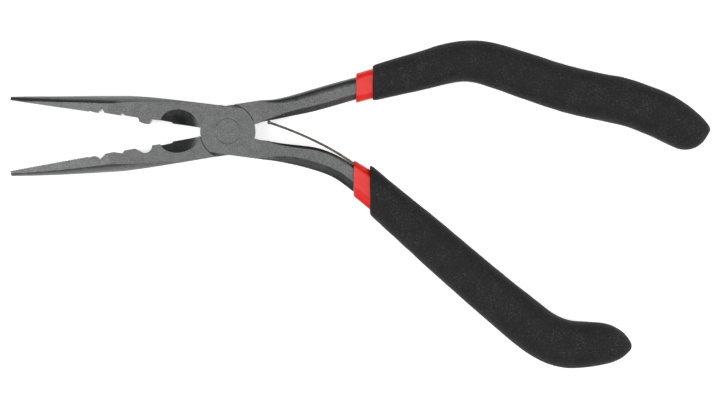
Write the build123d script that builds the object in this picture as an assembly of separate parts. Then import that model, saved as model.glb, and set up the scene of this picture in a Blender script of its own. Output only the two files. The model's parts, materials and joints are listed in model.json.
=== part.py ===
from build123d import *
import os
from math import cos, radians, sin

# Needle nose pliers with a leaf return spring and double-dipped handles.
#
# Frame: the tool lies flat with its nose along -X. The pivot axis is the Z axis, and z = 0
# is the flat of the rear cheek, so the two cheeks lap at z = HEAD_DEPTH / 2. Everything is
# drawn about the lap plane and lifted at the end. All sizes are in millimetres.
#
# The jaws and cheeks are drawn shut, with the parting line on the X axis, and are then
# turned to the open rest pose. The handles are drawn in the rest pose.

# ---- Driving dimensions ----
HEAD_DEPTH = 11.0          # head thickness, both cheeks together
FRONT_OPEN = 8.05          # degrees that the front half is turned from shut, clockwise
REAR_OPEN = 10.2           # degrees that the rear half is turned from shut, the other way
CHEEK_RADIUS = 9.7         # round end of each cheek, about the pivot
FRONT_JAW_EDGE = 8.85      # straight edges of each cheek: distance from the parting line,
FRONT_TANG_EDGE = 8.2      # on the jaw's side and on the tang's side
REAR_JAW_EDGE = 8.1
REAR_TANG_EDGE = 9.1
SEAT_CLEARANCE = 0.15      # between a cheek's round end and its seat in the other half
LAP_GAP = 0.05             # between the two cheeks
RUNNING_GAP = 0.04         # radial, rivet in the rear half

RIVET_SHANK = 3.0          # radius
RIVET_HEAD = 4.5           # radius of the countersunk heads, flush on both sides
RIVET_CONE = 1.6           # depth of the countersink
RIVET_EDGE = 0.08          # broken edge of the head, which shows as a faint ring

TOOTH_PITCH = 1.06         # cross teeth of the gripping faces
TOOTH_DEPTH = 0.38
TEETH_END = -49.0          # the last tooth, towards the pivot
CUTTER_START = -19.8       # the cutting edges, from here to the cheeks

VINYL_LIP = 1.15           # red dipped layer over the tang, at its thin front lip
VINYL = 1.25               # the same layer from the foam's edge on
VINYL_BULGE = 1.2          # how far the leaf's tail and rivet push it out
BULGE_HALF_LENGTH = 13.0
FRONT_VINYL_EDGE = 44.6    # the dip lines lie square to the tool
REAR_VINYL_EDGE = 45.5
FRONT_FOAM_EDGE = 50.4
REAR_FOAM_EDGE = 51.3

LEAF_THICKNESS = 0.8
LEAF_WIDTH = 5.0
LEAF_GAP = 0.06            # between its tail and the tang
LEAF_ROOM = 0.12           # between its tail and the vinyl
LEAF_ROLL = 0.62           # radius of the rolled end that bears on the rear tang
LEAF_RIVET = 1.0           # radius of the shank of the small rivet that holds the leaf
LEAF_RIVET_DEPTH = 4.5     # how deep it goes into the tang
LEAF_RIVET_HEAD = 1.9      # radius of its domed head
LEAF_RIVET_DOME = 0.65     # height of the dome

# ---- Outlines of the two jaws: distance from the parting line at x along the tool ----
# The round of the jaw, a body turned about the X axis, runs out over the cheek.
UPPER_ROUND = [(-78.0, 1.5), (-71.4, 2.5), (-60.8, 4.05), (-52.0, 5.4), (-43.2, 6.7),
               (-36.2, 7.7), (-30.0, 8.5), (-22.0, 9.35), (-8.0, 10.6)]
LOWER_ROUND = [(-78.4, 2.0), (-72.0, 3.05), (-61.4, 4.6), (-54.4, 5.5), (-44.0, 6.75),
               (-37.0, 7.55), (-30.0, 8.2), (-22.0, 9.1), (-8.0, 10.4)]
# The flat edge of the head, from where the round runs out on it to the pivot.
UPPER_EDGE = [(-46.0, 7.3), (-37.0, 7.66), (-29.1, 8.18), (-18.4, 8.5), (-6.0, 8.72), (3.9, FRONT_JAW_EDGE)]
LOWER_EDGE = [(-46.0, 6.95), (-37.0, 7.4), (-29.5, 7.66), (-18.7, 7.85), (-6.0, 8.0), (5.2, REAR_JAW_EDGE)]
TIP_HALF_DEPTH = 1.7       # half the depth of the jaw at its tip, in Z
TAPER_END = -43.0          # the jaw reaches the head's full depth here

# The crimping dies, from the teeth to the cutter: notches cut into the jaw are positive.
UPPER_DIES = [(-48.0, 0.1), (-46.7, 0.1), (-45.3, 2.0), (-44.1, 0.45), (-38.7, 0.3), (-37.9, 1.35),
              (-36.9, 0.5), (-32.1, 0.42), (-31.4, -0.95), (-30.4, -1.35), (-28.4, -1.4),
              (-27.95, -1.1), (-27.4, 0.45), (-24.1, 0.6), (-20.2, 0.42), (-19.8, 0.0)]
LOWER_DIES = [(-48.0, 0.25), (-47.4, 0.5), (-46.2, 1.9), (-43.9, 0.15), (-41.0, 0.1), (-39.0, 0.75),
              (-38.6, 1.0), (-37.9, 1.05), (-37.1, 0.2), (-33.4, 0.2), (-31.4, 1.8)]
# The lower jaw's round nest faces the upper jaw's nose: an arc through these three points.
NEST = [(-31.4, 1.8), (-29.6, 2.4), (-27.2, 0.3)]
LOWER_DIES_END = [(-27.0, 0.15), (-24.4, 0.25), (-24.1, 0.75), (-20.2, 0.5), (-19.8, 0.0)]

# Side cutter: a hollow ground into both faces, from an ellipse down to the cutting edge.
POCKET_X = -17.4
POCKET_LENGTH = 13.4
UPPER_POCKET = 10.6        # its width, both sides of the parting line
LOWER_POCKET = 8.8
CUTTER_LENGTH = 9.6
CUTTER_LAND = 0.5          # thickness left at the cutting edge

# ---- Handles, in the rest pose: x, y of the middle, width across, depth in Z, bevel ----
REAR_TANG = [(12.0, 7.25, 7.5, 11.0, 0.15), (15.0, 7.6, 7.1, 10.3, 0.6), (18.5, 8.2, 6.95, 9.1, 1.2),
             (22.0, 9.0, 7.05, 8.4, 1.6), (26.0, 9.95, 7.4, 8.1, 1.8), (32.5, 11.7, 7.75, 8.0, 1.8),
             (40.0, 13.85, 7.7, 8.0, 1.8), (46.0, 15.5, 7.6, 8.0, 1.8), (53.0, 17.45, 7.6, 8.0, 1.8),
             (61.0, 19.6, 7.8, 8.0, 1.8), (70.0, 21.9, 8.0, 8.0, 1.8), (78.8, 24.1, 8.0, 8.0, 1.8),
             (86.0, 24.9, 8.0, 8.0, 1.8), (93.0, 23.5, 8.2, 8.0, 1.8), (103.7, 20.2, 8.4, 8.0, 1.8),
             (114.3, 16.7, 8.4, 8.0, 1.8), (125.0, 13.6, 8.4, 8.0, 1.8), (139.0, 10.5, 8.2, 7.8, 1.8),
             (150.0, 7.1, 7.8, 7.4, 1.8), (158.0, 3.5, 7.2, 7.0, 1.8)]
FRONT_TANG = [(12.0, -6.5, 6.7, 11.0, 0.15), (15.0, -6.9, 6.6, 10.3, 0.6), (18.5, -7.45, 6.55, 9.1, 1.2),
              (22.0, -8.0, 6.85, 8.4, 1.6), (26.0, -8.65, 7.3, 8.1, 1.8), (30.0, -9.45, 7.8, 8.0, 1.8),
              (34.0, -10.65, 7.85, 8.0, 1.8), (38.0, -12.35, 7.6, 8.0, 1.8), (42.0, -14.75, 7.5, 8.0, 1.8),
              (46.0, -17.8, 7.5, 8.0, 1.8), (50.0, -20.9, 7.5, 8.0, 1.8), (54.0, -24.1, 7.6, 8.0, 1.8),
              (61.0, -30.1, 7.8, 8.0, 1.8),
              (70.0, -37.7, 8.0, 8.0, 1.8), (79.0, -45.5, 8.0, 8.0, 1.8), (88.0, -53.2, 8.2, 8.0, 1.8),
              (97.0, -60.9, 8.4, 8.0, 1.8), (104.0, -66.6, 8.4, 8.0, 1.8), (111.0, -71.6, 8.4, 8.0, 1.8),
              (117.0, -74.7, 8.0, 7.8, 1.8), (124.0, -75.9, 7.4, 7.4, 1.8), (131.0, -75.8, 6.8, 7.0, 1.8)]

# ---- Foam grips, in the rest pose: x, y of the middle, width across, depth in Z ----
REAR_GRIP = [(46.0, 15.65, 11.4, 13.2), (54.0, 17.8, 12.2, 13.5), (62.0, 19.9, 13.0, 13.8), (70.1, 22.0, 13.5, 14.0),
             (78.2, 24.2, 14.0, 14.2), (86.4, 25.0, 14.6, 14.3), (94.6, 23.4, 15.4, 14.4), (102.5, 20.85, 15.8, 14.4),
             (110.4, 18.15, 16.0, 14.4), (118.4, 15.6, 16.2, 14.4), (126.5, 13.5, 16.4, 14.4),
             (134.6, 11.85, 16.4, 14.4), (142.7, 9.9, 16.35, 14.4), (150.6, 7.1, 16.3, 14.4),
             (154.4, 5.35, 16.15, 14.4), (158.0, 3.3, 15.75, 14.2)]
FRONT_GRIP = [(43.8, -14.8, 13.2, 13.3), (50.0, -20.1, 13.4, 13.5), (56.2, -25.45, 13.8, 13.8),
              (62.4, -30.8, 14.35, 14.0), (68.7, -36.2, 14.85, 14.2), (74.9, -41.65, 15.25, 14.3),
              (81.1, -47.05, 15.5, 14.4), (87.3, -52.4, 15.75, 14.4), (93.6, -57.75, 16.05, 14.4),
              (99.9, -63.0, 16.4, 14.4), (106.3, -68.2, 16.7, 14.4), (113.0, -72.9, 16.8, 14.4),
              (120.8, -75.5, 16.75, 14.4), (128.9, -75.35, 15.95, 14.2)]
# How each end closes, on planes beside the last section: distance past it, shift towards the
# upper side, width, depth.
REAR_CAP = [(3.5, 0.05, 15.05, 13.7), (6.5, 0.05, 14.15, 12.9), (8.7, 0.25, 12.75, 11.7), (10.3, 0.6, 11.0, 10.2),
            (11.4, 1.1, 9.2, 8.5), (12.2, 1.7, 7.0, 6.5), (12.7, 2.2, 4.5, 4.2)]
FRONT_CAP = [(5.0, -0.75, 14.5, 13.2), (8.0, -1.2, 12.7, 11.8), (10.5, -1.75, 9.9, 9.4), (12.2, -2.2, 7.1, 6.9),
             (13.3, -2.95, 4.2, 4.4), (13.9, -3.4, 2.2, 2.4)]
GRIP_CORNER = 0.37         # corner radius of a grip's section, as a share of its smaller side

# ---- Leaf spring, in the rest pose ----
LEAF_TIP = (14.6, 3.2)
LEAF_MIDDLE = (29.1, -2.5)
LEAF_ROWS = (8, 9, 10, 11)  # rows of the front tang that its tail lies along, and the one
LEAF_RIVET_ROW = 10         # that holds its rivet

half_depth = HEAD_DEPTH / 2
seat_radius = CHEEK_RADIUS + SEAT_CLEARANCE


def turned(point, degrees):
    """A point of the plan, turned about the pivot."""
    x, y = point
    c, s = cos(radians(degrees)), sin(radians(degrees))
    return (c * x - s * y, s * x + c * y)


# ---- Handle sections ----
def section_planes(rows):
    """A plane square to the handle's middle line at each row: local x is up in the plan, local y is Z."""
    path = Spline(*[(row[0], row[1]) for row in rows])
    planes = []
    for row in rows:
        along = path.tangent_at(path.param_at_point((row[0], row[1])))
        planes.append(Plane(origin=(row[0], row[1], 0), x_dir=(-along.Y, along.X, 0), z_dir=along))
    return planes


def flash_section(low, high, depth, bevel, pushed=0.0):
    """A bar's section with a bevel and the narrow land of the forging flash on its lower side.

    Where the upper side is pushed out, its corners are rounder."""
    top = depth / 2
    land = bevel * 0.55
    upper = [(low, top - bevel - land * 0.7), (low + land, top - bevel), (low + land + bevel, top),
             (high - bevel * 0.55 - pushed, top), (high, top - bevel * 0.8 - pushed)]
    lower = [(x, -z) for x, z in reversed(upper)]
    return make_face(Polyline(*upper, *lower, close=True))


def rounded_section(low, high, depth, bevel, pushed=0.0):
    """A bar's section with a crisp bevel on its lower side and a round upper side."""
    top = depth / 2
    radius = bevel * 1.4
    middle = radius * 0.7
    outline = Polyline((high, -top + radius), (high, top - radius))
    outline += ThreePointArc((high, top - radius), (high - radius + middle, top - radius + middle),
                             (high - radius, top))
    outline += Polyline((high - radius, top), (low + bevel, top), (low, top - bevel * 1.2),
                        (low, -top + bevel * 1.2), (low + bevel, -top), (high - radius, -top))
    outline += ThreePointArc((high - radius, -top), (high - radius + middle, -top + radius - middle),
                             (high, -top + radius))
    return make_face(outline)


def bar(rows, section):
    """The forged bar of a handle."""
    faces = []
    for plane, (x, y, width, depth, bevel) in zip(section_planes(rows), rows):
        faces.append(plane * section(-width / 2, width / 2, depth, bevel))
    return loft(faces)


def vinyl_outside(rows, section, edges, bulge):
    """The outside of the dipped layer over a bar, from ahead of its lip to past the bar's end."""
    lip, foam = edges
    faces = []
    for plane, (x, y, width, depth, bevel) in zip(section_planes(rows), rows):
        share = min(1, max(0, (x - lip) / (foam - lip)))
        skin = VINYL_LIP + (VINYL - VINYL_LIP) * share
        off_rivet = (x - rows[LEAF_RIVET_ROW][0]) / BULGE_HALF_LENGTH
        pushed = bulge * cos(radians(90 * off_rivet)) ** 2 if abs(off_rivet) < 1 else 0
        if x > lip - 8:
            face = section(-width / 2 - skin, width / 2 + skin + pushed, depth + 2 * skin, bevel, pushed)
            faces.append(plane * face)
    last_plane = section_planes(rows)[-1].offset(VINYL)
    faces.append(last_plane * face)
    return loft(faces)


def foam_outside(rows, cap):
    """The outside of a foam grip, with its end closed by the cap's sections."""
    planes = section_planes(rows)
    sections = [(plane, 0, row[2], row[3]) for plane, row in zip(planes, rows)]
    for distance, shift, width, depth in cap:
        sections.append((planes[-1].offset(distance), shift, width, depth))
    return loft([plane * Pos(shift, 0) * RectangleRounded(w, d, GRIP_CORNER * min(w, d))
                 for plane, shift, w, d in sections])


def beyond(solid, x):
    """What lies beyond a dip line: the part of the solid on the handle side of x."""
    return split(solid, bisect_by=Plane(origin=(x, 0, 0), z_dir=(1, 0, 0)), keep=Keep.TOP)


# ---- Jaws, shut, drawn as if each were the upper one ----
def teeth(start, end):
    """The gripping face: V-shaped cross teeth from the tip to the last one."""
    points = []
    count = int((end - start) / TOOTH_PITCH)
    for i in range(count):
        x = start + i * TOOTH_PITCH
        points.append((x, 0.0))
        points.append((x + TOOTH_PITCH / 2, TOOTH_DEPTH))
    return points


def jaw(round_points, edge_points, inner_line, pocket_width):
    """A jaw with its share of the head: plan, round, taper and side cutter."""
    tip = round_points[0][0]
    top = edge_points[-1]
    first = edge_points[0]
    outline = inner_line
    outline += Polyline((CUTTER_START, 0), (top[0], 0), top)
    outline += Spline(*reversed(edge_points))
    outline += Polyline(first, (tip, first[1]), (tip, 0))
    body = extrude(make_face(outline), half_depth, both=True)

    side = Polyline((tip, -TIP_HALF_DEPTH), (tip, TIP_HALF_DEPTH), (TAPER_END, half_depth), (top[0], half_depth),
                    (top[0], -half_depth), (TAPER_END, -half_depth), close=True)
    taper = extrude(Plane.XZ * make_face(side), 20, both=True)

    turned_edge = Spline(*round_points)
    end = round_points[-1]
    turned_edge += Polyline(end, (top[0], end[1] + 2), (top[0], 0), (tip, 0), round_points[0])
    turned_body = revolve(make_face(turned_edge), Axis.X, 360)

    rim = Pos(POCKET_X, 0, half_depth + 0.01) * Ellipse(POCKET_LENGTH / 2, pocket_width / 2)
    cutter = Pos(POCKET_X + 1.6, 0, CUTTER_LAND / 2) * Ellipse(CUTTER_LENGTH / 2, 0.2)
    pocket = loft([rim, cutter])
    return body & taper & turned_body - pocket - mirror(pocket, about=Plane.XY)


def upper_jaw():
    line = Polyline(*teeth(UPPER_ROUND[0][0], TEETH_END), *UPPER_DIES)
    return jaw(UPPER_ROUND, UPPER_EDGE, line, UPPER_POCKET)


def lower_jaw():
    line = Polyline(*teeth(LOWER_ROUND[0][0], TEETH_END), *LOWER_DIES)
    line += ThreePointArc(*NEST)
    line += Polyline(NEST[-1], *LOWER_DIES_END)
    return mirror(jaw(LOWER_ROUND, LOWER_EDGE, line, LOWER_POCKET), about=Plane.XZ)


# ---- The two halves ----
def cheek(low, high):
    """The round end of a half, cut flat where the head's edges run past it. Drawn shut."""
    disc = Circle(CHEEK_RADIUS)
    band = Pos(0, (low + high) / 2) * Rectangle(4 * CHEEK_RADIUS, high - low)
    return extrude(disc & band, half_depth, both=True)


def root(plane, width, side, edge):
    """The solid ground between the cheek and the first section of the handle."""
    outer = plane.from_local_coords((side * width / 2, 0, 0))
    inner = plane.from_local_coords((-side * width / 2, 0, 0))
    seat = (9.1, side * 2.5)
    plan = Polyline((outer.X, outer.Y), (inner.X, inner.Y), seat, (0, 0), edge, close=True)
    return extrude(make_face(plan), half_depth, both=True)


def seat(side):
    """The round seat that takes the other half's cheek: side 1 empties what is above the lap plane."""
    height = HEAD_DEPTH
    return Pos(0, 0, side * (height / 2 - LAP_GAP / 2)) * Cylinder(seat_radius, height)


def rivet_shape(gap=0.0):
    """The pivot rivet, or with a gap the hole for it: a shank with a cone at each end."""
    head = RIVET_HEAD + gap
    shank = RIVET_SHANK + gap
    cone = half_depth - RIVET_CONE
    profile = Polyline((0, half_depth), (head, half_depth), (shank, cone), (shank, -cone), (head, -half_depth),
                       (0, -half_depth), close=True)
    return revolve(Plane.XZ * make_face(profile), Axis.Z, 360)


# ---- Leaf spring ----
def leaf_strip(extra=0.0):
    """The strip from its tip to its tail. With extra, the space that the vinyl leaves for it."""
    planes = section_planes(FRONT_TANG)
    points = [LEAF_TIP, LEAF_MIDDLE]
    for row in LEAF_ROWS:
        on_edge = planes[row].from_local_coords((FRONT_TANG[row][2] / 2 + LEAF_GAP + LEAF_THICKNESS / 2, 0, 0))
        points.append((on_edge.X, on_edge.Y))
    path = Spline(*points)
    start = path.tangent_at(0)
    plane = Plane(origin=points[0], x_dir=(-start.Y, start.X, 0), z_dir=start)
    section = plane * Rectangle(LEAF_THICKNESS + 2 * extra, LEAF_WIDTH + 2 * extra)
    return sweep(section, path)


def leaf_rivet_plane():
    """On the tang's inner edge, with local z out of the tang."""
    plane = section_planes(FRONT_TANG)[LEAF_RIVET_ROW]
    width = FRONT_TANG[LEAF_RIVET_ROW][2]
    return Plane(origin=plane.from_local_coords((width / 2, 0, 0)), x_dir=(0, 0, 1), z_dir=plane.x_dir)


def leaf_rivet_shank(gap=0.0, above=0.0):
    """The shank, from its depth in the tang to a height above the tang's edge."""
    length = LEAF_RIVET_DEPTH + above
    return leaf_rivet_plane() * (Pos(0, 0, above - length / 2) * Cylinder(LEAF_RIVET + gap, length))


def leaf_rivet_head(gap=0.0):
    """The domed head, on top of the leaf."""
    seat_height = 2 * LEAF_GAP + LEAF_THICKNESS - gap
    height = LEAF_RIVET_DOME + 2 * gap
    return leaf_rivet_plane() * (Pos(0, 0, seat_height + height / 2) * Cylinder(LEAF_RIVET_HEAD + gap, height))


def build():
    """Every piece by name, drawn about the lap plane."""
    pivot_rivet = rivet_shape()
    circles = pivot_rivet.edges().filter_by(GeomType.CIRCLE).sort_by(Axis.Z)
    pivot_rivet = chamfer([circles[0], circles[-1]], RIVET_EDGE)

    front_plane = section_planes(FRONT_TANG)[0]
    front_half = Rot(0, 0, -FRONT_OPEN) * (upper_jaw() + cheek(-FRONT_TANG_EDGE, FRONT_JAW_EDGE))
    front_half += root(front_plane, FRONT_TANG[0][2], -1, turned((0, -FRONT_TANG_EDGE), -FRONT_OPEN))
    front_bar = bar(FRONT_TANG, flash_section)
    front_half = front_half + front_bar - seat(-1) - rivet_shape() - leaf_rivet_shank()

    rear_plane = section_planes(REAR_TANG)[0]
    rear_half = Rot(0, 0, REAR_OPEN) * (lower_jaw() + cheek(-REAR_JAW_EDGE, REAR_TANG_EDGE))
    rear_half += root(rear_plane, REAR_TANG[0][2], 1, turned((0, REAR_TANG_EDGE), REAR_OPEN))
    rear_bar = bar(REAR_TANG, rounded_section)
    rear_half = rear_half + rear_bar - seat(1) - rivet_shape(RUNNING_GAP)

    roll = Pos(*LEAF_TIP, 0) * Cylinder(LEAF_ROLL, LEAF_WIDTH)
    leaf_spring = leaf_strip() + roll - leaf_rivet_shank(LEAF_GAP, above=3)
    head = leaf_rivet_head()
    head = fillet(head.edges().filter_by(GeomType.CIRCLE).sort_by_distance(front_half.center())[-1],
                  LEAF_RIVET_DOME * 0.8)
    spring_rivet = leaf_rivet_shank(above=2 * LEAF_GAP + LEAF_THICKNESS) + head

    front_outside = vinyl_outside(FRONT_TANG, flash_section, (FRONT_VINYL_EDGE, FRONT_FOAM_EDGE), VINYL_BULGE)
    rear_outside = vinyl_outside(REAR_TANG, rounded_section, (REAR_VINYL_EDGE, REAR_FOAM_EDGE), 0)
    leaf_space = leaf_strip(LEAF_ROOM) + leaf_rivet_head(LEAF_GAP)
    front_vinyl_sleeve = beyond(front_outside, FRONT_VINYL_EDGE) - front_bar - leaf_space
    rear_vinyl_sleeve = beyond(rear_outside, REAR_VINYL_EDGE) - rear_bar
    front_foam_grip = beyond(foam_outside(FRONT_GRIP, FRONT_CAP), FRONT_FOAM_EDGE) - front_outside
    rear_foam_grip = beyond(foam_outside(REAR_GRIP, REAR_CAP), REAR_FOAM_EDGE) - rear_outside

    return {
        "front_half": front_half,
        "rear_half": rear_half,
        "pivot_rivet": pivot_rivet,
        "leaf_spring": leaf_spring,
        "spring_rivet": spring_rivet,
        "front_vinyl_sleeve": front_vinyl_sleeve,
        "rear_vinyl_sleeve": rear_vinyl_sleeve,
        "front_foam_grip": front_foam_grip,
        "rear_foam_grip": rear_foam_grip,
    }


def main():
    os.makedirs("parts", exist_ok=True)
    for name, piece in build().items():
        piece = Pos(0, 0, half_depth) * piece
        export_step(piece, f"parts/{name}.step")
        print(name, "volume", round(piece.volume, 1), "solids", len(piece.solids()))


main()
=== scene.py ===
# %% [markdown]
# # Needle nose pliers with soft grips
# The tool is two forged steel halves on one flush rivet, with a thin leaf spring between the
# handles. Each handle was dipped twice: first in red vinyl, then in black foam. The halves and
# rivets come from the CAD frame as they are. The leaf, the vinyl and the foam are soft or thin
# things whose surface matters, so they are modelled here as pieces of their own.

# %% Load the frame
import json
import math

import bpy
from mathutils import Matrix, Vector, noise


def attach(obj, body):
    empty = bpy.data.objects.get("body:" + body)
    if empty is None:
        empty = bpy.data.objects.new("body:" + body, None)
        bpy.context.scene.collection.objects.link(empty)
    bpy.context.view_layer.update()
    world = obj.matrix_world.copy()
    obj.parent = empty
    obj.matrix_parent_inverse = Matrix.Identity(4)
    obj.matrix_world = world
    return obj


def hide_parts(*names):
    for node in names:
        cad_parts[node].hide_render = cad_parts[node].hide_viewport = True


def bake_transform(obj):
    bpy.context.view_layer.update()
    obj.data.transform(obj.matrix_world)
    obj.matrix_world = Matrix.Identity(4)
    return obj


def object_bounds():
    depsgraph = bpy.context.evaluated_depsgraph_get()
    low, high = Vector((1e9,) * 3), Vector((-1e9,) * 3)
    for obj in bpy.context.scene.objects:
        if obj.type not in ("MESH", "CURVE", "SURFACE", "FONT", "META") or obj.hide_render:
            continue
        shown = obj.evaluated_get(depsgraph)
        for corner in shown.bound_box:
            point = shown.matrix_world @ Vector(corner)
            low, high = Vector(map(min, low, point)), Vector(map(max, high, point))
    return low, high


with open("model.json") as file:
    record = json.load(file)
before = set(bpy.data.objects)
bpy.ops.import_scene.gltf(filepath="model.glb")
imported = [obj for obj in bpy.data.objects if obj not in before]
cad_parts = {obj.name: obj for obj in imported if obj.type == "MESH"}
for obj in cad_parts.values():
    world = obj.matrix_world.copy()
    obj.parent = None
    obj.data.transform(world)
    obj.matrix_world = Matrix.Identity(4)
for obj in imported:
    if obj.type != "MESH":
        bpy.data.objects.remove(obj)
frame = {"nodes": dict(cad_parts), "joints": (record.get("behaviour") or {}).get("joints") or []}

MM = 0.001
cad_low, cad_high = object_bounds()
lap_z = frame["joints"][0]["pos_m"][2]      # the plane where the two halves lie on each other
print("CAD box in mm:", [round(v / MM, 1) for v in cad_high - cad_low])

# %% [markdown]
# ## Colours and nodes
# A colour given as a code, or taken from a paint chart, is an sRGB value. Shader sockets want
# linear light, so one function turns the hex code into linear numbers. A second one adds a node,
# sets its values and links its inputs, which keeps each material short enough to read.

# %% Colour and node helpers
def colour(code):
    """A linear RGBA colour from an sRGB hex code such as 'a0b0c0'."""
    channels = [int(code[i:i + 2], 16) / 255 for i in (0, 2, 4)]
    linear = [c / 12.92 if c <= 0.04045 else ((c + 0.055) / 1.055) ** 2.4 for c in channels]
    return (*linear, 1.0)


def add(tree, kind, inputs=None, stops=None, **settings):
    """Adds a node. An input is a value, or another node's output, which is then linked.
    Stops are for a colour ramp: a list of (place, hex code)."""
    node = tree.nodes.new("ShaderNode" + kind)
    for name, value in settings.items():
        setattr(node, name, value)
    for name, value in (inputs or {}).items():
        socket = node.inputs[name]
        if isinstance(value, bpy.types.NodeSocket):
            tree.links.new(value, socket)
        else:
            socket.default_value = value
    for index, (place, code) in enumerate(stops or []):
        elements = node.color_ramp.elements
        element = elements[index] if index < len(elements) else elements.new(place)
        element.position = place
        element.color = colour(code)
    return node


def new_material(name):
    """An empty material: its node tree, and the one shader that everything feeds."""
    material = bpy.data.materials.new(name)
    material.use_nodes = True
    tree = material.node_tree
    tree.nodes.clear()
    output = add(tree, "OutputMaterial")
    shader = add(tree, "BsdfPrincipled")
    tree.links.new(shader.outputs["BSDF"], output.inputs["Surface"])
    return material, tree, shader


def feed(tree, shader, **links):
    """Links outputs into the shader. An underscore in a name stands for a space."""
    for name, socket in links.items():
        tree.links.new(socket, shader.inputs[name.replace("_", " ")])


def per_metre(size_mm):
    """The texture scale that makes one cell of a pattern as large as this."""
    return 1 / (size_mm * MM)


print("a 1 mm pattern has scale", round(per_metre(1.0)))

# %% [markdown]
# ## Black-phosphated steel
# The halves are drop-forged carbon steel. The forging is dipped in a hot phosphate bath, which
# grows a dull, nearly black coat of crystals. The cheeks and jaw flats are then ground level,
# its sides are dressed where the flash was trimmed off, and a second thin bath turns that bare
# steel mid grey. So one piece has two finishes: grey on the flats, a little less so on the
# upright sides, and dark on the bevels and rounds between them, which kept their first coat.
# That dark is also painted shade: it is darkest on faces tilted about 45 degrees, which would
# mirror the dim room, and it fades towards the flats. A painted mask could tell the faces
# apart. The height of the surface's own normal, 1 on a flat and 0 on a side, does it with no
# map to paint and fits any shape, so that is used.
# Handling rubs the coat thin on corners. A Bevel node gives the normal of a rounded corner, so
# where it disagrees with the true normal there is an edge, which is made lighter.

# %% Steel material
GRAIN_MM = 0.42              # phosphate crystals are about 0.03 mm: drawn coarser, so that they show
MOTTLE_MM = 2.8              # patches where the bath took unevenly
MOTTLE_SHARE = 0.22
GRAIN_DEPTH_MM = 0.03
EDGE_MM = 0.22               # how far the rounding of a worn corner reaches
WORN_STEEL = "a3a5a2"
MOST_WEAR = 0.12
# Faces tilted about 45 degrees fall between the flat and side masks and take the full dark colour:
# forged coat and painted shade together. The dark fades out towards the flats.
FLAT_FROM, FLAT_FULL = 0.72, 0.99
SIDE_FROM, SIDE_FULL = 0.69, 0.66
SIDE_SHARE = 0.75


def phosphated_steel_painted_shade(name, ground_codes, coat_and_shade_codes, ground_roughness, forged_roughness):
    material, tree, shader = new_material(name)
    place = add(tree, "TexCoord").outputs["Object"]
    crystals = {"Vector": place, "Scale": per_metre(GRAIN_MM), "Detail": 3.0}
    patches = {"Vector": place, "Scale": per_metre(MOTTLE_MM), "Detail": 2.0}
    grain = add(tree, "TexNoise", crystals).outputs["Fac"]
    mottle = add(tree, "TexNoise", patches).outputs["Fac"]
    pattern = add(tree, "Mix", {0: MOTTLE_SHARE, 2: grain, 3: mottle}, data_type="FLOAT").outputs[0]
    ground_stops = list(zip((0.38, 0.62), ground_codes))
    coat_and_shade_stops = list(zip((0.38, 0.62), coat_and_shade_codes))
    ground = add(tree, "ValToRGB", {"Fac": pattern}, ground_stops).outputs["Color"]
    coat_and_shade = add(tree, "ValToRGB", {"Fac": pattern}, coat_and_shade_stops).outputs["Color"]

    normal = add(tree, "NewGeometry").outputs["Normal"]
    height = add(tree, "SeparateXYZ", {"Vector": normal}).outputs["Z"]
    level = add(tree, "Math", {0: height}, operation="ABSOLUTE").outputs[0]
    flat_range = {"Value": level, "From Min": FLAT_FROM, "From Max": FLAT_FULL}
    side_range = {"Value": level, "From Min": SIDE_FROM, "From Max": SIDE_FULL, "To Max": SIDE_SHARE}
    flat = add(tree, "MapRange", flat_range).outputs["Result"]
    side = add(tree, "MapRange", side_range).outputs["Result"]
    # One on the ground flats, 0.75 on upright sides, nothing on the 45-degree band, whose dark colour
    # is forged coat and painted shade.
    ground_over_coat_and_shade = add(tree, "Math", {0: flat, 1: side}, operation="MAXIMUM").outputs[0]
    base = add(tree, "Mix", {0: ground_over_coat_and_shade, 6: coat_and_shade, 7: ground}, data_type="RGBA").outputs[2]
    shine = {0: ground_over_coat_and_shade, 2: forged_roughness, 3: ground_roughness}
    rough = add(tree, "Mix", shine, data_type="FLOAT").outputs[0]

    bevel = add(tree, "Bevel", {"Radius": EDGE_MM * MM}, samples=6).outputs["Normal"]
    both = {0: bevel, 1: normal}
    agreement = add(tree, "VectorMath", both, operation="DOT_PRODUCT").outputs["Value"]
    wear_range = {"Value": agreement, "From Min": 0.99, "From Max": 0.90, "To Max": MOST_WEAR}
    worn = add(tree, "MapRange", wear_range).outputs["Result"]
    base = add(tree, "Mix", {0: worn, 6: base, 7: colour(WORN_STEEL)}, data_type="RGBA").outputs[2]
    dents = {"Height": grain, "Distance": GRAIN_DEPTH_MM * MM, "Strength": 0.5, "Normal": bevel}
    bump = add(tree, "Bump", dents)
    feed(tree, shader, Base_Color=base, Roughness=rough, Normal=bump.outputs["Normal"])
    shader.inputs["Metallic"].default_value = 0.8
    return material


half_steel = phosphated_steel_painted_shade(
    "black_phosphate_steel_painted_shade",
    ground_codes=("4e504f", "686a69"), coat_and_shade_codes=("323534", "4a4d4c"),
    ground_roughness=0.42, forged_roughness=0.30)
rivet_steel = phosphated_steel_painted_shade(
    "ground_rivet_steel",
    ground_codes=("4f5150", "686a69"), coat_and_shade_codes=("4f5150", "646665"),
    ground_roughness=0.42, forged_roughness=0.40)
print("steel:", half_steel.name, rivet_steel.name)

# %% [markdown]
# ## Tempered spring strip
# The leaf is cut from cold-rolled spring strip, which is bright, smooth and faintly brown from
# tempering. Rolling leaves fine lines along its length. An anisotropic shader could hint at
# them, but streaks of noise colour the metal too. The noise is stretched along X, which lies
# near the strip's own direction, so the streaks come out short.

# %% Spring material
ROLLING_LINE_MM = 0.15       # real rolling lines are finer: drawn coarser, so that they show
ROLLING_DEPTH_MM = 0.01
STRETCH = 0.04


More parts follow.
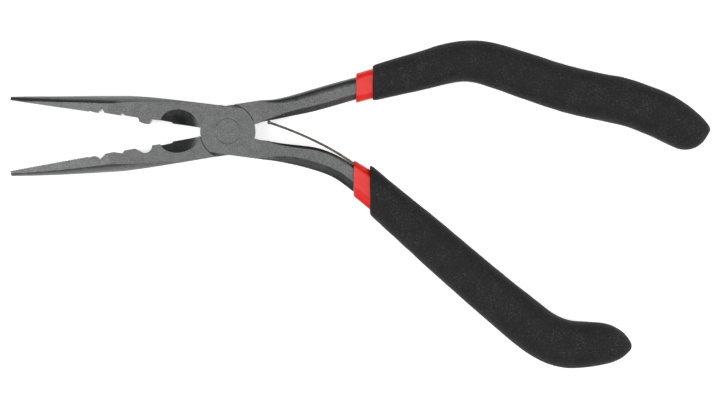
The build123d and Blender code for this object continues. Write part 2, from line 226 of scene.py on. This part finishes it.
def spring_strip():
    material, tree, shader = new_material("tempered_spring_steel")
    place = add(tree, "TexCoord").outputs["Object"]
    along = add(tree, "Mapping", {"Vector": place, "Scale": (STRETCH, 1, 1)}).outputs["Vector"]
    streaks = {"Vector": along, "Scale": per_metre(ROLLING_LINE_MM), "Detail": 2.0}
    lines = add(tree, "TexNoise", streaks).outputs["Fac"]
    base = add(tree, "ValToRGB", {"Fac": lines}, [(0.35, "3d3b36"), (0.65, "605d54")]).outputs["Color"]
    bump = add(tree, "Bump", {"Height": lines, "Distance": ROLLING_DEPTH_MM * MM, "Strength": 0.4})
    feed(tree, shader, Base_Color=base, Normal=bump.outputs["Normal"])
    shader.inputs["Metallic"].default_value = 0.9
    shader.inputs["Roughness"].default_value = 0.36
    return material


leaf_steel = spring_strip()
print("spring:", leaf_steel.name)

# %% [markdown]
# ## Red dipped vinyl
# The hot handle is lowered into liquid vinyl (plastisol), drawn out and cured. The skin is
# smooth and softly glossy, with slow ripples from the draining liquid. Its red is a little
# deeper in the ripples' hollows, and its gloss varies slightly over the skin. Real vinyl lets
# some light in, but a skin this thin over dark steel looks right with surface colour alone.

# %% Vinyl material
RIPPLE_MM = 3.0
RIPPLE_DEPTH_MM = 0.12
GLOSS_PATCH_MM = 0.4


def dipped_vinyl():
    material, tree, shader = new_material("red_dipped_plastisol")
    place = add(tree, "TexCoord").outputs["Object"]
    slow = {"Vector": place, "Scale": per_metre(RIPPLE_MM), "Detail": 2.0}
    quick = {"Vector": place, "Scale": per_metre(GLOSS_PATCH_MM), "Detail": 2.0}
    ripple = add(tree, "TexNoise", slow).outputs["Fac"]
    fine = add(tree, "TexNoise", quick).outputs["Fac"]
    base = add(tree, "ValToRGB", {"Fac": ripple}, [(0.3, "dc170c"), (0.7, "e52116")]).outputs["Color"]
    rough = add(tree, "MapRange", {"Value": fine, "To Min": 0.30, "To Max": 0.42}).outputs["Result"]
    bump = add(tree, "Bump", {"Height": ripple, "Distance": RIPPLE_DEPTH_MM * MM, "Strength": 0.5})
    feed(tree, shader, Base_Color=base, Roughness=rough, Normal=bump.outputs["Normal"])
    shader.inputs["IOR"].default_value = 1.53
    shader.inputs["Specular IOR Level"].default_value = 0.4
    return material


vinyl = dipped_vinyl()
print("vinyl:", vinyl.name)

# %% [markdown]
# ## Black foamed dip
# The second dip has a blowing agent in it, so it cures into a closed-cell foam with a thin dry
# skin. Burst cells pit the skin, each a tiny dimple, and the skin between them is unevenly
# black. It scatters light and has almost no shine. Dimples in the mesh would take millions of
# faces, so a bump draws them, and the mesh has only the larger unevenness.

# %% Foam material
PORE_MM = 0.75               # real pores are 0.2 to 0.6 mm: drawn coarser, so that they show
PORE_DEPTH_MM = 0.16
SPECKLE_MM = 0.55
PATCH_MM = 6.0


def foamed_vinyl():
    material, tree, shader = new_material("black_foamed_plastisol")
    place = add(tree, "TexCoord").outputs["Object"]
    pores = {"Vector": place, "Scale": per_metre(PORE_MM)}
    specks = {"Vector": place, "Scale": per_metre(SPECKLE_MM), "Detail": 4.0}
    clouds = {"Vector": place, "Scale": per_metre(PATCH_MM), "Detail": 3.0}
    cells = add(tree, "TexVoronoi", pores).outputs["Distance"]
    speckle = add(tree, "TexNoise", specks).outputs["Fac"]
    patches = add(tree, "TexNoise", clouds).outputs["Fac"]
    mixed = add(tree, "Mix", {0: 0.25, 2: speckle, 3: patches}, data_type="FLOAT").outputs[0]
    stops = [(0.36, "0f0f0f"), (0.53, "191919"), (0.66, "323231")]
    base = add(tree, "ValToRGB", {"Fac": mixed}, stops).outputs["Color"]
    height = add(tree, "Mix", {0: 0.45, 2: cells, 3: speckle}, data_type="FLOAT").outputs[0]
    bump = add(tree, "Bump", {"Height": height, "Distance": PORE_DEPTH_MM * MM, "Strength": 0.7})
    rough = add(tree, "MapRange", {"Value": speckle, "To Min": 0.66, "To Max": 0.88}).outputs["Result"]
    feed(tree, shader, Base_Color=base, Roughness=rough, Normal=bump.outputs["Normal"])
    shader.inputs["IOR"].default_value = 1.5
    shader.inputs["Specular IOR Level"].default_value = 0.35
    return material


foam = foamed_vinyl()
print("foam:", foam.name)

# %% [markdown]
# ## The steel pieces
# The halves and rivets keep their CAD shape, because machined and forged steel is what CAD
# draws well. Only their shading changes: faces that meet at a small angle are shaded as one
# smooth surface, and the ground edges stay crisp.

# %% Finish the CAD steel
def dress(piece, material):
    """Gives a piece one material, and no other."""
    piece.data.materials.clear()
    piece.data.materials.append(material)


def finish_cad(node, material, sharp_degrees):
    piece = frame["nodes"][node]
    dress(piece, material)
    piece.data.shade_smooth()
    piece.data.set_sharp_from_angle(angle=math.radians(sharp_degrees))
    print(node, "edges sharp from", sharp_degrees, "degrees")


for node in ("front_half", "rear_half"):
    finish_cad(node, half_steel, sharp_degrees=24)
for node in ("pivot_rivet", "spring_rivet"):
    finish_cad(node, rivet_steel, sharp_degrees=30)

# %% [markdown]
# ## Dipped and bent pieces
# A dip has no sharp corner anywhere: surface tension rounds its lips and it bridges every edge
# it covers. Bevelling each edge of the CAD mesh would need clean quads, which it doesn't have.
# A voxel remesh turns the solid into an even net of small quads instead. Smoothing then rounds
# all its corners, and a tiny push along the normals gives back what the smoothing took.
# The result stays where the CAD solid was, which keeps it clear of its neighbours. Slow random
# waves then break up the perfect surface.

# %% A rounded copy of a CAD solid
def rounded_copy(node, name, material, voxel_mm, smoothing, swell_mm, wave_mm=0.0, wave_length_mm=8.0):
    """A new piece from a CAD node: remeshed, rounded and slightly uneven."""
    piece = bpy.data.objects.new(name, frame["nodes"][node].data.copy())
    bpy.context.collection.objects.link(piece)
    remesh = piece.modifiers.new("net", "REMESH")
    remesh.mode = "VOXEL"
    remesh.voxel_size = voxel_mm * MM
    smooth = piece.modifiers.new("rounding", "SMOOTH")
    smooth.factor = 0.5
    smooth.iterations = smoothing
    graph = bpy.context.evaluated_depsgraph_get()
    mesh = bpy.data.meshes.new_from_object(piece.evaluated_get(graph))
    piece.modifiers.clear()
    piece.data = mesh
    mesh.name = name
    pushes = []
    for vertex in mesh.vertices:
        wave = noise.noise(vertex.co / (wave_length_mm * MM)) * wave_mm
        pushes.append(vertex.normal * (swell_mm + wave) * MM)
    for vertex, push in zip(mesh.vertices, pushes):
        vertex.co += push
    mesh.shade_smooth()
    dress(piece, material)
    print(name, "faces:", len(mesh.polygons))
    return piece


# %% [markdown]
# ## Vinyl sleeves
# The first dip shows as a red collar between the bare steel and the foam. It follows the bar's
# bevels, so a soft ridge runs along it and catches the light. Few smoothing passes keep that
# ridge.

# %% Make the two sleeves
for side in ("front", "rear"):
    sleeve = rounded_copy(
        side + "_vinyl_sleeve", side + "_red_collar", vinyl,
        voxel_mm=0.38, smoothing=4, swell_mm=0.05, wave_mm=0.05, wave_length_mm=4.0)
    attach(sleeve, side)
    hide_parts(side + "_vinyl_sleeve")

# %% [markdown]
# ## Foam grips
# The second dip is thick and light. Its lip is soft, and its surface has slow dents and swells
# of a tenth of a millimetre, where the foam rose unevenly. Many smoothing passes give the soft
# lip.

# %% Make the two grips
for side in ("front", "rear"):
    grip = rounded_copy(
        side + "_foam_grip", side + "_foamed_grip", foam,
        voxel_mm=0.45, smoothing=24, swell_mm=0.08, wave_mm=0.10, wave_length_mm=5.0)
    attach(grip, side)
    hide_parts(side + "_foam_grip")

# %% [markdown]
# ## Leaf spring
# The strip is riveted to the front handle under the vinyl, and its rolled end slides on the
# rear handle. The CAD can only turn it about one axis. A curve with a flat profile could make
# the strip, but a copy of the CAD solid keeps its rolled end and its tail. It is only 0.8 mm
# thick, so it needs a finer net than the dips.

leaf = rounded_copy(
    "leaf_spring", "bent_leaf", leaf_steel,
    voxel_mm=0.14, smoothing=7, swell_mm=0.02)
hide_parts("leaf_spring")
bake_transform(leaf)

# %% [markdown]
# ## Floor
# The tool lies on a white paper sweep. The paper also glows a little, which keeps it an even
# white without lights so strong that they would wash out the dark steel.

# %% Lay the paper
FLOOR_SIZE = 4.0             # metres
FLOOR_GAP_MM = 0.2
FIBRES_PER_METRE = 900.0
middle = Vector((0.047, -0.025, lap_z))     # the middle of the tool, seen from above


def floor_material():
    material, tree, shader = new_material("white_paper_sweep")
    place = add(tree, "TexCoord").outputs["Object"]
    fibres = {"Vector": place, "Scale": FIBRES_PER_METRE, "Detail": 2.0}
    fibre = add(tree, "TexNoise", fibres).outputs["Fac"]
    paper = add(tree, "ValToRGB", {"Fac": fibre}, [(0.3, "f2f2f2"), (0.7, "f6f6f6")]).outputs["Color"]
    feed(tree, shader, Base_Color=paper)
    shader.inputs["Roughness"].default_value = 0.9
    shader.inputs["Emission Color"].default_value = (1, 1, 1, 1)
    shader.inputs["Emission Strength"].default_value = 0.55
    return material


floor_place = (middle.x, middle.y, cad_low.z - FLOOR_GAP_MM * MM)
bpy.ops.mesh.primitive_plane_add(size=FLOOR_SIZE, location=floor_place)
floor = bpy.context.object
floor.name = "paper_sweep"
floor.data.materials.append(floor_material())
print("floor at z", round(floor_place[2] / MM, 2), "mm")

# %% [markdown]
# ## Lights
# A broad soft box right overhead lights the ground flats, and the room beyond it is dim, so
# everything that turns away from straight up goes dark. That contrast is what shows the rounds
# and bevels of dark steel. Weaker boxes at the two ends and along the near side lift the rest.

# %% Hang the soft boxes
# name, place from the tool's middle in metres, width and height in metres, power in watts
SOFT_BOXES = [
    ("overhead_box", (0, 0, 0.9), (1.5, 0.75), 6.2),
    ("nose_side_box", (-1.0, 0, 0.75), (0.8, 0.8), 4.0),
    ("handle_side_box", (1.0, 0, 0.75), (0.8, 0.8), 5.0),
    ("nose_box", (-0.45, 0, 0.85), (0.3, 0.4), 1.0),
    ("near_strip", (0.1, -1.3, 0.25), (1.4, 0.25), 2.4),
]
ROOM_LIGHT = 0.12

for name, offset, size, power in SOFT_BOXES:
    light = bpy.data.lights.new(name, "AREA")
    light.shape = "RECTANGLE"
    light.size, light.size_y = size
    light.energy = power
    holder = bpy.data.objects.new(name, light)
    holder.location = middle + Vector(offset)
    holder.rotation_euler = (-Vector(offset)).to_track_quat("-Z", "Y").to_euler()
    holder.visible_camera = False
    bpy.context.collection.objects.link(holder)

world = bpy.data.worlds.new("studio_room")
bpy.context.scene.world = world
world.use_nodes = True
room = world.node_tree.nodes["Background"]
room.inputs["Color"].default_value = (1, 1, 1, 1)
room.inputs["Strength"].default_value = ROOM_LIGHT
print("soft boxes:", len(SOFT_BOXES))

# %% [markdown]
# ## Camera
# The camera looks straight down from far away, so the tool shows almost without perspective. The
# lens is worked out from similar triangles: sensor to focal length is as frame width to height.

# %% Place the camera
FRAME_WIDTH_MM = 255.6       # what the frame takes in, at the lap plane
FRAME_CENTRE_MM = (46.86, -25.20)
CAMERA_HEIGHT = 1.6          # metres over the lap plane
SENSOR_WIDTH = 36.0

camera_data = bpy.data.cameras.new("camera")
camera_data.sensor_width = SENSOR_WIDTH
camera_data.lens = SENSOR_WIDTH * CAMERA_HEIGHT / (FRAME_WIDTH_MM * MM)
camera_data.clip_end = 20
camera = bpy.data.objects.new("camera", camera_data)
camera.location = (FRAME_CENTRE_MM[0] * MM, FRAME_CENTRE_MM[1] * MM, lap_z + CAMERA_HEIGHT)
bpy.context.collection.objects.link(camera)
bpy.context.scene.camera = camera
bpy.context.scene.view_settings.view_transform = "Standard"
print("camera lens:", round(camera_data.lens), "mm")
